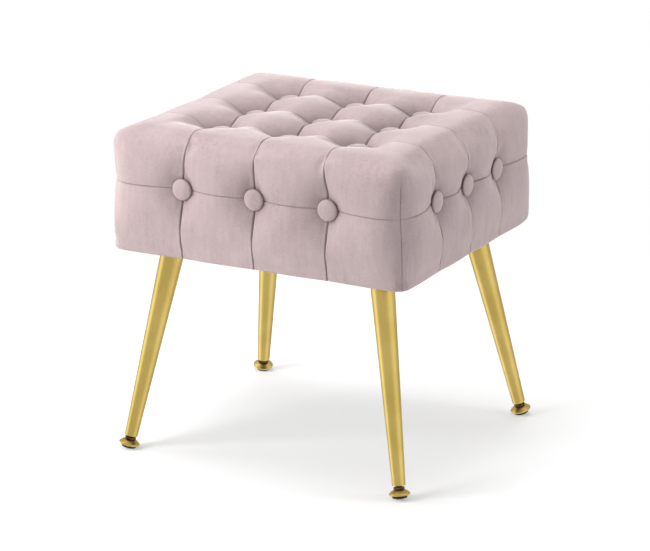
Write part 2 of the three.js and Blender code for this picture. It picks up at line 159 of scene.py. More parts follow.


# Short pile in slow, brushed patches; the attribute darkens the seam lines, partly stitching and partly painted
# shade, and paints shade in the pits and gaps round the buttons
def velvet(start):
    patches = noise(start, scale=14, detail=4, roughness=0.6)
    brushed = noise(start, scale=150, roughness=0.6, stretch=(1, 1, 0.16))
    grain = noise(start, scale=420, detail=2, roughness=0.6)
    pile = noise(start, scale=1400, detail=2, roughness=0.7)
    lay = patches * 0.45 + brushed * 0.27 + grain * 0.28
    dark = lay.ramp(0.34, 0.50).mix(velvetLook["pileDark"], velvetLook["pile"])
    shade = lay.ramp(0.48, 0.66).mix(dark, velvetLook["pileLight"])
    # seam lines and painted shade, from the cover's and buttons' attribute
    seam = start.node("Attribute", {"attribute_name": "seamLineAndPaintedShade"}, output=2)
    return {
        "Base Color": seam.mix(shade, velvetLook["seam"]),
        "Roughness": 0.90 - grain * 0.08,
        "Specular IOR Level": 0.18,
        "Sheen Weight": 0.80,
        "Sheen Roughness": 0.36,
        "Sheen Tint": velvetLook["sheenTint"],
        "Normal": relief(start, pile, 0.0004, 0.45, under=relief(start, brushed, 0.0010, 0.35)),
    }


brassLook = {
    "metal": (0.590, 0.430, 0.116),
    "metalLight": (0.670, 0.500, 0.155),
    "leg": (0.27, 0.5),  # roughness and brushing
    "disc": (0.33, 0.15),
}


# Satin brass, brushed round the leg and a little worn
def brass(start, roughness, brushing):
    cloud = noise(start, scale=22)
    fine = noise(start, scale=900, detail=2, stretch=(1, 1, 6))
    wear = noise(start, scale=160, detail=4, roughness=0.65).ramp(0.55, 0.8)
    return {
        "Base Color": cloud.ramp(0.35, 0.7).mix(brassLook["metal"], brassLook["metalLight"]),
        "Metallic": 1.0,
        "Roughness": roughness + cloud * 0.06 + wear * 0.05,
        "Normal": relief(start, fine, 0.00012, brushing),
    }


# Browned steel of the glide's stem and hexagon
def darkSteel(start):
    cloud = noise(start, scale=260, detail=4, roughness=0.6)
    brown, rubbed = (0.050, 0.026, 0.016), (0.160, 0.085, 0.045)
    return {
        "Base Color": cloud.ramp(0.4, 0.65).mix(brown, rubbed),
        "Metallic": 0.85,
        "Roughness": 0.32 + cloud * 0.2,
        "Normal": relief(start, cloud, 0.0001, 0.4),
    }


# Dusty black plastic of the pad
def blackPlastic(start):
    grain = noise(start, scale=900, detail=2)
    dust = noise(start, scale=240, detail=4).ramp(0.5, 0.75)
    return {
        "Base Color": dust.mix((0.012, 0.012, 0.013), (0.030, 0.028, 0.026)),
        "Roughness": 0.55 + dust * 0.2,
        "Specular IOR Level": 0.25,
        "Normal": relief(start, grain, 0.0001, 0.5),
    }


# Zinc-plated steel with its faint crystals
def zinc(start):
    crystals = cells(start, scale=160)
    dull, bright = (0.46, 0.48, 0.50), (0.62, 0.63, 0.64)
    return {
        "Base Color": crystals.ramp(0.1, 0.8).mix(dull, bright),
        "Metallic": 1.0,
        "Roughness": 0.30 + noise(start, scale=60) * 0.22,
        "Normal": relief(start, crystals, 0.0001, 0.3),
    }


# Open-cell foam
def foam(start):
    aged, fresh = (0.80, 0.72, 0.48), (0.88, 0.83, 0.64)
    return {
        "Base Color": noise(start, scale=30).ramp(0.35, 0.7).mix(aged, fresh),
        "Roughness": 0.95,
        "Normal": relief(start, cells(start, scale=700), 0.0006, 0.8),
    }


birchPly = {
    "light": (0.66, 0.50, 0.30),
    "dark": (0.42, 0.27, 0.13),
    "rings": {"Scale": 55.0, "Distortion": 0.3},  # the plies
    "ringShare": 0.4,
}

pineWood = {
    "light": (0.72, 0.55, 0.33),
    "dark": (0.52, 0.34, 0.16),
    "rings": {"Scale": 9.0, "Distortion": 6.0},
    "ringShare": 0.3,
}


# Grain along X, with rings or plies over the thickness
def wood(start, look):
    grain = noise(start, scale=16, detail=6, roughness=0.65, stretch=(0.6, 8, 8))
    pores = noise(start, scale=700, detail=2, stretch=(0.15, 3, 3))
    wave = {"Vector": position(start), **look["rings"]}
    rings = start.node("TexWave", {"bands_direction": "Z"}, wave, output=1)
    tone = grain * 0.6 + rings * look["ringShare"] + pores * 0.1
    return {
        "Base Color": tone.ramp(0.3, 0.8).mix(look["dark"], look["light"]),
        "Roughness": 0.62 + pores * 0.2,
        "Normal": relief(start, tone, 0.0005, 0.5),
    }


# Spun-bonded fibres with small weld points
def lining(start):
    fibres = noise(start, scale=420, detail=4, roughness=0.75, stretch=(1, 5, 1))
    welds = cells(start, scale=620, randomness=0.15)
    dark, light = (0.012, 0.012, 0.013), (0.045, 0.044, 0.046)
    return {
        "Base Color": fibres.ramp(0.35, 0.7).mix(dark, light),
        "Roughness": 0.88,
        "Specular IOR Level": 0.25,
        "Normal": relief(start, welds, 0.0003, 0.5, under=relief(start, fibres, 0.0004, 0.4)),
    }


looks = {
    "velvet": principled("dustyVelvet", velvet),
    "brass_finish": principled("satinBrass", brass, *brassLook["leg"]),
    "turnedBrass": principled("turnedBrass", brass, *brassLook["disc"]),
    "dark_steel": principled("brownedSteel", darkSteel),
    "black_plastic": principled("blackPlastic", blackPlastic),
    "zinc_plate": principled("zincPlate", zinc),
    "foam": principled("seatFoam", foam),
    "plywood": principled("birchPly", wood, birchPly),
    "softwood": principled("pineWood", wood, pineWood),
    "lining": principled("spunLining", lining),
}
print("materials:", len(looks))


# Camera and stage

cameraView = {
    "azimuth": 29.407,
    "elevation": 17.524,
    "roll": -0.858,
    "distance": 4.042,
    "target": (0.0004, -0.0013, 0.2165),
    "focalPixels": 3091,
    "imageWidth": 650,
    "sensor": 36.0,
}


def newObject(name, data):
    made = bpy.data.objects.new(name, data)
    scene.collection.objects.link(made)
    return made


# Turned about its target, then moved back
def makeCamera():
    azimuth, elevation, roll = map(math.radians, pick(cameraView, "azimuth", "elevation", "roll"))
    data = bpy.data.cameras.new("photoCamera")
    data.sensor_width = cameraView["sensor"]
    data.lens = cameraView["focalPixels"] * cameraView["sensor"] / cameraView["imageWidth"]
    data.clip_end = 100
    scene.camera = newObject("photoCamera", data)
    turn = Matrix.Rotation(azimuth, 4, "Z") @ Matrix.Rotation(math.pi / 2 - elevation, 4, "X")
    back = Matrix.Translation((0, 0, cameraView["distance"])) @ Matrix.Rotation(roll, 4, "Z")
    scene.camera.matrix_world = Matrix.Translation(cameraView["target"]) @ turn @ back


stage = {
    "floorSize": 16.0,
    "floor": (0.90, 0.90, 0.90),
    "floorBounce": (0.74, 0.74, 0.74),  # of the light that it throws back
    "floorGlow": 0.35,  # share of plain white that the camera sees
    "whiteFrom": 0.45,  # all white between these distances
    "whiteBeyond": 1.10,
    "white": (1, 1, 1),
    "surround": 0.42,  # light from all round
    "shine": 0.78,  # brightness in the metal, between these bands
    "bands": (
        {"azimuth": -70, "width": 26, "level": 0.95},
        {"azimuth": 95, "width": 38, "level": 0.42},
        {"azimuth": -165, "width": 75, "level": -0.14},
    ),
}


# Brightness in the metal, by a ray's level direction
def studio(start):
    brightness = stage["shine"]
    level = start.node("VectorMath", {"operation": "MULTIPLY"}, {0: start.node("TexCoord"), 1: (1, 1, 0)})
    level = start.node("VectorMath", {"operation": "NORMALIZE"}, {0: level})
    for band in stage["bands"]:
        turn = math.radians(band["azimuth"])
        wide = math.radians(band["width"])
        sockets = {0: level, 1: (math.sin(turn), -math.cos(turn), 0)}
        near = start.node("VectorMath", {"operation": "DOT_PRODUCT"}, sockets, output=1)
        brightness = brightness + near.ramp(math.cos(wide), math.cos(wide / 3)) * band["level"]
    return brightness


def makeFloor():
    bm = bmesh.new()
    bmesh.ops.create_grid(bm, x_segments=1, y_segments=1, size=stage["floorSize"] / 2)
    material, start = newMaterial("whiteFloor")
    bounced = start.node("LightPath", output=2)
    paint = start.node("BsdfDiffuse", sockets={"Color": bounced.mix(stage["floor"], stage["floorBounce"])})
    white = start.node("Emission", sockets={"Color": stage["white"], "Strength": 1.0})
    away = start.node("VectorMath", {"operation": "LENGTH"}, {0: position(start)}, output=1)
    faded = away.ramp(stage["whiteFrom"], stage["whiteBeyond"])
    glow = start.node("LightPath") * (faded + (1 - faded) * stage["floorGlow"])
    surface = start.node("MixShader", sockets={0: glow, 1: paint, 2: white})
    start.node("OutputMaterial", sockets={"Surface": surface})
    floor = meshObject("floor", bm, material)
    floor.visible_glossy = False  # so the metal shows the studio below it too


def makeStudio():
    world = bpy.data.worlds.new("studio")
    scene.world = world
    world.use_nodes = True
    world.node_tree.nodes.clear()
    sky = Wire(world.node_tree)
    camera = sky.node("LightPath")
    glossy = sky.node("LightPath", output=3)
    diffuse = (1 - camera) * (1 - glossy)
    strength = camera + glossy * studio(sky) + diffuse * stage["surround"]
    light = sky.node("Background", sockets={"Color": stage["white"], "Strength": strength})
    sky.node("OutputWorld", sockets={"Surface": light})


lampTarget = (0, 0, 0.3)
lamps = {
    "key": {"place": (-1.10, -1.30, 1.05), "size": 0.9, "watts": 31.5},
    "top": {"place": (-0.3, 0.25, 3.0), "size": 1.6, "watts": 56},
    "left": {"place": (-2.7, -0.8, 0.9), "size": 0.8, "watts": 20},
    "right": {"place": (2.7, 0.70, 0.60), "size": 0.8, "watts": 33},
}


def makeLamps():
    for name, lamp in lamps.items():
        data = bpy.data.lights.new(name, "AREA")
        data.size = lamp["size"]
        data.energy = lamp["watts"]
        softbox = newObject(name, data)
        softbox.location = lamp["place"]
        softbox.visible_glossy = False
        aim = Vector(lampTarget) - softbox.location
        softbox.rotation_euler = aim.to_track_quat("-Z", "Y").to_euler()


def meshObject(name, bm, material=None, smooth=True):
    mesh = bpy.data.meshes.new(name)
    bm.to_mesh(mesh)
    bm.free()
    for face in mesh.polygons:
        face.use_smooth = smooth
    if material:
        mesh.materials.append(material)
    return newObject(name, mesh)


makeCamera()
makeFloor()
makeStudio()
makeLamps()
print("camera, stage and lamps")


# Shapes that several pieces use

def addPiece(name, bm, look, node=None, body="stool", smooth=True):
    made = meshObject(name, bm, looks[look], smooth)
    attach(made, body)
    if node:
        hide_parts(node)
    return made


def applyModifier(made, kind, **settings):
    configure(made.modifiers.new(kind.lower(), kind), settings)
    graph = bpy.context.evaluated_depsgraph_get()
    shaped = bpy.data.meshes.new_from_object(made.evaluated_get(graph))
    made.modifiers.clear()
    old = made.data
    made.data = shaped
    shaped.name = made.name
    bpy.data.meshes.remove(old)


# Cuts a shape out of a piece, or joins it
def combine(made, bm, operation="DIFFERENCE"):
    tool = meshObject("shape", bm)
    applyModifier(made, "BOOLEAN", object=tool, operation=operation, solver="EXACT")
    bpy.data.objects.remove(tool)


def lerp(first, second, share):
    return first + (second - first) * share


# Turns +Z to a direction
def towards(facing):
    return Vector((0, 0, 1)).rotation_difference(Vector(facing)).to_matrix().to_4x4()


# Spins a profile of (radius, height) points about Z
def turned(profile, steps):
    bm = bmesh.new()
    points = [bm.verts.new((radius, 0, height)) for radius, height in profile]
    edges = [bm.edges.new(pair) for pair in zip(points, points[1:])]
    spin = {"cent": (0, 0, 0), "axis": (0, 0, 1), "angle": 2 * math.pi, "steps": steps}
    bmesh.ops.spin(bm, geom=points + edges, use_merge=True, **spin)
    bmesh.ops.remove_doubles(bm, verts=bm.verts, dist=1e-7)
    bmesh.ops.dissolve_degenerate(bm, edges=bm.edges, dist=1e-8)
    bmesh.ops.recalc_face_normals(bm, faces=bm.faces)
    return bm


# Arc in a profile, between angles in degrees
def arc(middleRadius, middleHeight, radius, start, end, steps=6):
    angles = [math.radians(lerp(start, end, i / steps)) for i in range(steps + 1)]
    return [(middleRadius + radius * math.cos(a), middleHeight + radius * math.sin(a)) for a in angles]


def addBlock(bm, size, matrix):
    bmesh.ops.create_cube(bm, size=1, matrix=matrix @ Matrix.Diagonal((*size, 1)))


def block(low, high):
    bm = bmesh.new()
    addBlock(bm, high - low, Matrix.Translation((low + high) / 2))
    return bm


# Adds an upright prism and gives its edges
def addPrism(bm, steps, radius, depth, matrix):
    sizes = {"segments": steps, "radius1": radius, "radius2": radius, "depth": depth}
    made = set(bmesh.ops.create_cone(bm, cap_ends=True, matrix=matrix, **sizes)["verts"])
    return [edge for edge in bm.edges if edge.verts[0] in made]


def softenEdges(bm, edges, offset, segments=4):
    settings = {"profile": 0.5, "affect": "EDGES", "material": -1}
    bmesh.ops.bevel(bm, geom=edges, offset=offset, segments=segments, **settings)


def uprightEdges(bm):
    return [edge for edge in bm.edges if abs(edge.verts[0].co.z - edge.verts[1].co.z) > tiny]


def edgesAt(bm, height):
    return [edge for edge in bm.edges if all(abs(end.co.z - height) < tiny for end in edge.verts)]


# Cuts all faces along a plane
def bisect(bm, place, facing, **settings):
    geometry = [*bm.verts, *bm.edges, *bm.faces]
    bmesh.ops.bisect_plane(bm, geom=geometry, plane_co=place, plane_no=facing, **settings)


def closeHoles(bm):
    bmesh.ops.holes_fill(bm, edges=[edge for edge in bm.edges if edge.is_boundary], sides=0)
    bmesh.ops.remove_doubles(bm, verts=bm.verts, dist=1e-6)
    bmesh.ops.recalc_face_normals(bm, faces=bm.faces)


# Buttons

def buttonsOf(face):
    if face == "top":
        return [f"top_button_{row}_{side}" for row in rows for side in sides]
    return [f"{face}_button_{name}" for name in (sides if face in rows else rows)]


def buttonPlace(name):
    low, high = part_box(name)
    return (low + high) / 2


button = {
    "radius": 0.0137,
    "rise": 0.0072,
    "rim": 0.0022,
    "rimInset": 0.00198,
    "domeFrom": 0.00352,  # height of the dome's lower edge
    "domeAngles": (0, 14, 28, 42, 54, 66, 76, 84),
    "cord": 0.0012,
    "toggle": 0.005,
    "toggleThickness": 0.0025,
    "paintedShadeHeights": (0.0046, 0.0018),  # painted shade at the rim: none above the first height, full below the second
    "steps": 48,
}


# Dome above height 0, with its cord and toggle below
def buttonShape(depth):
    radius, rim, cord, toggle = pick(button, "radius", "rim", "cord", "toggle")
    dome = [
        (radius * math.sin(angle), lerp(button["domeFrom"], button["rise"], math.cos(angle)))
        for angle in map(math.radians, button["domeAngles"])
    ]
    rimRound = arc(radius - button["rimInset"], rim, rim, 10, -90)
    bottom = -depth - button["toggleThickness"]
    below = [(cord, 0), (cord, -depth), (toggle, -depth), (toggle, bottom), (0, bottom)]
    return turned([*dome, *rimRound, *below], button["steps"])


def makeButton(node, facing):
    low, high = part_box(node)
    along = max(range(3), key=lambda axis: abs(facing[axis]))
    outer = high[along] if facing[along] > 0 else low[along]
    seat = (low + high) / 2
    seat[along] = outer - facing[along] * button["rise"]
    bm = buttonShape(high[along] - low[along] - button["rise"] - button["toggleThickness"])
    heights = np.array([vertex.co.z for vertex in bm.verts])
    bmesh.ops.transform(bm, matrix=Matrix.Translation(seat) @ towards(facing), verts=bm.verts)
    made = addPiece(node.replace("button", "tuft_button"), bm, "velvet", node)
    # painted shade on the button's lower rim, where the gap to the cover is
    writeValues(made.data, "seamLineAndPaintedShade", smoothStep(*button["paintedShadeHeights"], heights))


# Seat cover

overFoam = {"sides": 0.0143, "top": 0.0213}  # edges of the seat beyond the foam
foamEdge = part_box("foam_side_band")[1]
halfWidth = foamEdge.x + overFoam["sides"]
halfDepth = foamEdge.y + overFoam["sides"]
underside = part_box("velvet_cover")[0].z
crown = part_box("foam_top")[1].z + overFoam["top"]
tall = crown - underside

pitches = {
    "topX": buttonPlace("top_button_middle_right").x,
    "topY": buttonPlace("top_button_back_middle").y,
    "frontX": buttonPlace("front_button_right").x,
    "sideY": buttonPlace("right_button_back").y,
    "rise": buttonPlace("front_button_left").z - underside,
}

cover = {
    "topRoll": 0.037,
    "cornerRoll": 0.019,  # at the underside
    "cornerTopRoll": (0.025, 0.042),  # at the top; the back left one is rounder
    "cornerRise": 0.050,  # rounder from here up
    "cornerReach": 0.085,  # where the roll narrows to the corner's
    "hemRoll": 0.0022,
    "hemSeamRoll": 0.0012,  # more of it below a seam
    "hemRollHeight": 0.030,
    "cornerTuck": (0.0005, 0.0040),  # of the hem, at front and back corners
    "cornerTuckHeight": 0.014,
    "hemEdge": 0.0025,  # rounding of the lowest edge
    "hemEdgeShares": (0, 0.12, 0.4, 1),
    "pillowReach": 0.046,
    "puffs": (2.8, 3.6),  # steepness of the pillows, at the sides and on the top
    "topCrown": 0.0046,  # of the inner pillows over the edge
    "sideBulge": 0.0045,  # of the sides beyond their lower edge
    "bulgeHeight": 0.140,
    "uprightSeamDepths": (0.0005, 0.0006),  # at the corners and beside them
    "levelSeamDepth": 0.0032,
    "buttonSeamDepth": 0.0094,  # of a side seam near a button
    "seamFade": 0.029,
    "topSeamDepths": (0.0036, 0.0128),  # midway and at the buttons
    "topSeamFade": 0.030,
    "saddle": 0.55,  # share of the crown that a seam keeps midway
    "pits": (0.0124, 0.0195),  # at the buttons of the sides and of the top
    "pitSpreads": (0.0155, 0.0200),
    "pitWallShares": (0.28, 0.22),
    "pitWall": 0.0030,  # steep stretch beside the button
    "pitFromShare": 0.95,  # of the button's radius
    "shallowEdge": 0.070,  # the top's seams get deeper from here
    "deepEdge": 0.100,
    "innerEdge": 0.120,  # the cloth swells fully from here
    "shrink": 0.0025,  # of the cloth, before it swells
    "seamGaps": (0.0011, 0.0031),  # rings of the net beside a seam
    "crowding": 0.5,  # of the rings towards the seams
    "innerSteps": 16,
    "outerSteps": 17,
    "heightSteps": (14, 13),
}


def smoothStep(low, high, value):
    share = np.clip((value - low) / (high - low), 0, 1)
    return share * share * (3 - 2 * share)


# Bell curve of a distance: 1 at 0, and about a third at the width
def bell(distance, width):
    return np.exp(-((distance / width) ** 2))


# A cube cut into a net of rings along X, Y and Z, open below
def boxNet(counts):
    bm = bmesh.new()
    bmesh.ops.create_cube(bm, size=1)
    for axis, count in enumerate(counts):
        whole = [e for e in bm.edges if abs((e.verts[0].co - e.verts[1].co)[axis]) > 1 - tiny]
        bmesh.ops.subdivide_edges(bm, edges=whole, cuts=count - 1, use_grid_fill=True)
    low = [face for face in bm.faces if all(vertex.co.z < tiny - 0.5 for vertex in face.verts)]
    bmesh.ops.delete(bm, geom=low, context="FACES")
    return bm


# Rings between two seams, closer beside each
def between(low, high, steps):
    near, far = cover["seamGaps"]
    share = np.linspace(0, 1, steps)
    share = share - cover["crowding"] * np.sin(2 * np.pi * share) / (2 * np.pi)
    return [low + near, *lerp(low + far, high - far, share), high - near]


# Rings from side to side of the seat
def acrossStations(half, pitch):
    inner = between(0, pitch, cover["innerSteps"])
    positive = [*inner, pitch, *between(pitch, half, cover["outerSteps"]), half]
    return np.array([-x for x in reversed(positive)] + [0.0] + positive)


def heightStations():
    rise = pitches["rise"]
    lowSteps, highSteps = cover["heightSteps"]
    hemRings = [cover["hemEdge"] * share for share in cover["hemEdgeShares"]]
    low = between(2 * cover["hemEdge"], rise, lowSteps)
    return np.array([*hemRings, *low, rise, *between(rise, tall, highSteps), tall])


# Signed gap to the nearest seam, at -pitch, 0 or pitch
def seamGap(value, pitch):
    gaps = np.array([value + pitch, value, value - pitch])
    nearest = np.argmin(np.abs(gaps), axis=0)
    return np.take_along_axis(gaps, nearest[None], axis=0)[0]


# Where points of the sharp box lie among the seams
def layOut(sharp, pitchX, pitchY):
    x, y, z = sharp.T
    gaps = np.array([seamGap(x, pitchX), seamGap(y, pitchY), z - pitches["rise"]])
    ordered = np.sort(np.abs(gaps), axis=0)
    crossing = np.hypot(ordered[0], ordered[1])  # to the nearest button
    inland = np.minimum(halfWidth - np.abs(x), halfDepth - np.abs(y))
    corner = halfWidth - np.abs(x) + halfDepth - np.abs(y)
    return {
        "gaps": gaps,
        "nearest": ordered[0],
        "crossing": crossing,
        "close": bell(crossing, cover["topSeamFade"]),
        "grid": sharp[:, :2] - gaps[:2].T,
        "corner": corner,
        "offCorner": smoothStep(0, cover["pillowReach"], corner),
        "inland": inland,
        "onTop": smoothStep(cover["shallowEdge"], cover["deepEdge"], inland),
        "crowned": smoothStep(0, cover["deepEdge"], inland),
    }


# Inward draw of the cover under its seams and buttons
def drawnIn(spot):
    gaps = np.abs(spot["gaps"])
    crossing, close, onTop, offCorner = pick(spot, "crossing", "close", "onTop", "offCorner")
    puff = lerp(*cover["puffs"], onTop)
    full = np.prod(1 - (1 - np.minimum(gaps / cover["pillowReach"], 1)) ** puff, axis=0)
    side = lerp(*cover["uprightSeamDepths"], offCorner)
    side = lerp(side, cover["levelSeamDepth"], bell(gaps[2], cover["seamFade"]) * offCorner)
    side = lerp(side, cover["buttonSeamDepth"], bell(crossing, cover["seamFade"]))
    seam = lerp(side, lerp(*cover["topSeamDepths"], close), onTop)
    kept = lerp(cover["saddle"] * (1 - close), 1, full)
    shallow = seam * (1 - full) - cover["topCrown"] * spot["crowned"] * lerp(1, kept, onTop)
    inner = (spot["inland"] > cover["shallowEdge"]).astype(int)
    pairs = pick(cover, "pits", "pitSpreads", "pitWallShares")
    pit, spread, share = (np.take(pair, inner) for pair in pairs)
    beside = np.maximum(crossing - button["radius"] * cover["pitFromShare"], 0)
    sink = lerp(np.exp(-beside / spread), np.exp(-beside / cover["pitWall"]), share)
    return shallow + (pit - shallow) * sink


# Points of the sharp box, taken to the rounded and tufted cover
def shapeCover(sharp, drawn, spot):
    z = sharp[:, 2]
    atBack = sharp[:, 1] > 0
    rollFrom = tall - cover["topRoll"]
    raised = smoothStep(0, rollFrom, z) * smoothStep(0, cover["cornerReach"], spot["corner"])
    rounder = smoothStep(cover["cornerRise"], rollFrom, z)
    upper = np.where(atBack & (sharp[:, 0] < 0), *reversed(cover["cornerTopRoll"]))
    roll = lerp(lerp(cover["cornerRoll"], upper, rounder), cover["topRoll"], raised)
    inner = np.array([halfWidth, halfDepth]) - roll[:, None]
    core = np.column_stack([np.clip(sharp[:, :2], -inner, inner), np.minimum(z, tall - roll)])
    outward = sharp - core
    outward /= np.maximum(np.linalg.norm(outward, axis=1, keepdims=True), 1e-9)
    turn = np.clip(1 - z / cover["hemRollHeight"], 0, 1)
    upright = np.min(np.abs(spot["gaps"][:2]), axis=0)
    rolled = cover["hemRoll"] + cover["hemSeamRoll"] * bell(upright, cover["seamFade"])
    lowest = np.clip(1 - z / cover["hemEdge"], 0, 1)
    tuck = rolled * turn * turn + cover["hemEdge"] * (1 - np.sqrt(1 - lowest * lowest))
    atCorner = 1 - spot["offCorner"]
    low = np.clip(1 - z / cover["cornerTuckHeight"], 0, 1)
    tuck += np.where(atBack, *reversed(cover["cornerTuck"])) * atCorner * low * low
    belly = np.sin(np.pi * np.clip(z / cover["bulgeHeight"], 0, 1))
    tuck -= cover["sideBulge"] * belly * (1 - atCorner)
    return core + outward * (roll - drawn - tuck)[:, None] + (0, 0, underside)


# Net of the cover, and its points on the sharp box
def coverNet():
    heights = heightStations()
    countX = len(acrossStations(halfWidth, pitches["topX"])) - 1
    countY = len(acrossStations(halfDepth, pitches["topY"])) - 1
    counts = (countX, countY, len(heights) - 1)
    bm = boxNet(counts)
    unit = np.array([vertex.co for vertex in bm.verts]) + 0.5
    index = np.rint(unit * counts).astype(int)
    z = heights[index[:, 2]]
    raised = smoothStep(pitches["rise"], tall, z)
    pitchX = lerp(pitches["frontX"], pitches["topX"], raised)
    pitchY = lerp(pitches["sideY"], pitches["topY"], raised)
    x = [acrossStations(halfWidth, pitch)[i] for pitch, i in zip(pitchX, index[:, 0])]
    y = [acrossStations(halfDepth, pitch)[i] for pitch, i in zip(pitchY, index[:, 1])]
    return bm, np.stack([x, y, z], axis=1), pitchX, pitchY


# Rows of numbers, one for each point of a mesh
def readRows(elements, name, width):
    values = np.empty(len(elements) * width)
    elements.foreach_get(name, values)
    return values.reshape(-1, width)


def writePoints(mesh, places):
    mesh.vertices.foreach_set("co", np.ascontiguousarray(places).ravel())
    mesh.update()


def writeValues(mesh, name, values):
    field = mesh.attributes.new(name, "FLOAT", "POINT")
    field.data.foreach_set("value", np.ascontiguousarray(values, dtype=float))


cloth = {
    "frames": 20,
    "settings": {
        "quality": 7,
        "mass": 0.25,
        "tension_stiffness": 12.0,
        "compression_stiffness": 12.0,
        "shear_stiffness": 4.0,
        "bending_stiffness": 0.6,
        "shrink_min": -0.022,  # spare cloth, for soft folds by the buttons
        "shrink_max": -0.022,
        "use_pressure": True,
        "uniform_pressure_force": 4.0,
    },
    "cap": 0.0070,  # of how far the inner pillows swell
    "tiedShare": 0.3,  # of the cap, close to a button of the top
    "edgeCap": 0.0028,
    "hemShare": 0.25,  # of the edge's cap, at the hem
    "hemFade": 0.055,
    "seamHold": 0.55,  # of the inner pillows
    "edgeSeamHold": 0.03,
    "buttonReach": (0.0105, 0.0168),  # held up to here, free from there
}


# Hold of each point: 1 at buttons and hem, less along seams
def pinWeights(spot, z):
    tied = 1 - smoothStep(*cloth["buttonReach"], spot["crossing"])
    hold = lerp(cloth["edgeSeamHold"], cloth["seamHold"] * spot["close"], spot["onTop"])
    sewn = hold * spot["offCorner"] * bell(spot["nearest"], cover["seamGaps"][1])
    hemmed = 1 - smoothStep(cover["hemEdge"], cover["hemRollHeight"] / 2, z)
    return np.max([tied, sewn, hemmed], axis=0)


# How far each point may move
def clothCap(spot, z):
    free = smoothStep(0, cloth["hemFade"], z)
    edgeCap = cloth["edgeCap"] * lerp(cloth["hemShare"], 1, free)
    innerCap = cloth["cap"] * lerp(1, cloth["tiedShare"], spot["close"])
    return lerp(edgeCap, innerCap, smoothStep(cover["shallowEdge"], cover["innerEdge"], spot["inland"]))


# Swells the cloth between its seams, each point up to its cap
def swellCover(made, weights, cap):
    group = made.vertex_groups.new(name="held")
    for i, weight in enumerate(weights):
        group.add([i], float(weight), "REPLACE")
    start = readRows(made.data.vertices, "co", 3)
    modifier = made.modifiers.new("cloth", "CLOTH")
    configure(modifier.settings, cloth["settings"] | {"vertex_group_mass": group.name})
    modifier.settings.effector_weights.gravity = 0
    modifier.collision_settings.use_collision = False
    configure(modifier.point_cache, {"frame_start": 1, "frame_end": cloth["frames"]})
    for frameNumber in range(1, cloth["frames"] + 1):
        scene.frame_set(frameNumber)
    graph = bpy.context.evaluated_depsgraph_get()
    moved = readRows(made.evaluated_get(graph).data.vertices, "co", 3) - start
    made.modifiers.clear()
    made.vertex_groups.clear()
    scene.frame_set(1)
    length = np.linalg.norm(moved, axis=1, keepdims=True)
    capped = cap[:, None] * np.tanh(length / cap[:, None])
    writePoints(made.data, start + moved * capped / np.maximum(length, 1e-9))


seams = {
    "depth": 0.0012,
    "buttonDepth": 0.0005,  # more of it close to a button
    "width": 0.0006,
    "clearShares": (0.4, 0.8),  # of the button's radius: the seams end under it
    "ridge": 0.0004,  # seam allowance that shows beside the groove
    "ridgePlace": 0.0021,
    "ridgeWidth": 0.0010,
    # the seam lines are darker: the stitched line, with painted shade in its groove
    "shadeWidth": 0.0005,
    "rimShadeWidth": 0.0040,  # of the painted shade in the gap round a button
    "rimFromShare": 0.9,  # of the button's radius
    "near": 0.030,
    "cornerTop": 0.130,
    "cornerFade": 0.020,
    "levelShare": 0.75,
    "atCorner": 0.15,  # share of the level seam's depth that is left there
    "cornerShare": 0.8,
    "borderShare": 0.35,  # on the top's left and right border
    "frontBorderShare": 0.7,  # of that change, on its front and back border
    "midShare": 0.42,  # of the top's seams midway between two buttons
    "paintedPitShade": (0.42, 0.60),  # painted shade in the pits round the buttons, of the sides and the top
    "paintedPitShadeWidth": (0.0095, 0.0145),
    "fold": 0.00060,  # small folds that run out from the buttons
    "foldFrom": 0.004,
    "foldReach": 0.013,
    "folds": (5, 8),
    "secondFolds": 0.6,  # share of the closer ones
    "foldTurns": (2.4, 4.08, 0.9),  # between buttons along X and Y, and faces
}


# Small folds round each button, no two alike
def foldsAt(spot):
    facing = np.argmax(np.abs(spot["gaps"]), axis=0)
    first = np.where(facing == 0, spot["gaps"][1], spot["gaps"][0])
    second = np.where(facing == 2, spot["gaps"][1], spot["gaps"][2])
    angle = np.arctan2(second, first)
    alongX, alongY, byFace = seams["foldTurns"]
    turn = np.sign(np.rint(spot["grid"] / seams["near"])) @ (alongX, alongY) + byFace * facing
    few, many = (count * angle for count in seams["folds"])
    waves = np.cos(few + np.sin(turn)) + seams["secondFolds"] * np.cos(many + 2 * np.cos(turn))
    beside = np.maximum(spot["crossing"] - button["radius"], 0)
    rise = smoothStep(0, seams["foldFrom"], beside) * np.exp(-beside / seams["foldReach"])
    return seams["fold"] * waves * rise


# Each seam as the gap to it and its share of the full depth
def seamLines(spot, height, close):
    onBorder = smoothStep(tall - cover["topRoll"], tall, height) * (1 - spot["onTop"])
    border = lerp(1, seams["borderShare"], onBorder * (1 - close))
    border *= lerp(1, seams["midShare"], spot["onTop"] * (1 - close))
    byCorner = lerp(seams["atCorner"], 1, smoothStep(0, seams["near"], spot["corner"]))
    cornerOn = smoothStep(seams["cornerTop"] + seams["cornerFade"], seams["cornerTop"], height)
    gapX, gapY, gapZ = spot["gaps"]
    return [
        (gapX, lerp(1, border, seams["frontBorderShare"])),
        (gapY, border),
        (gapZ, seams["levelShare"] * byCorner),
        (spot["corner"], seams["cornerShare"] * cornerOn),
    ]


layoutNames = ("sharpX", "sharpY", "sharpZ", "pitchX", "pitchY")
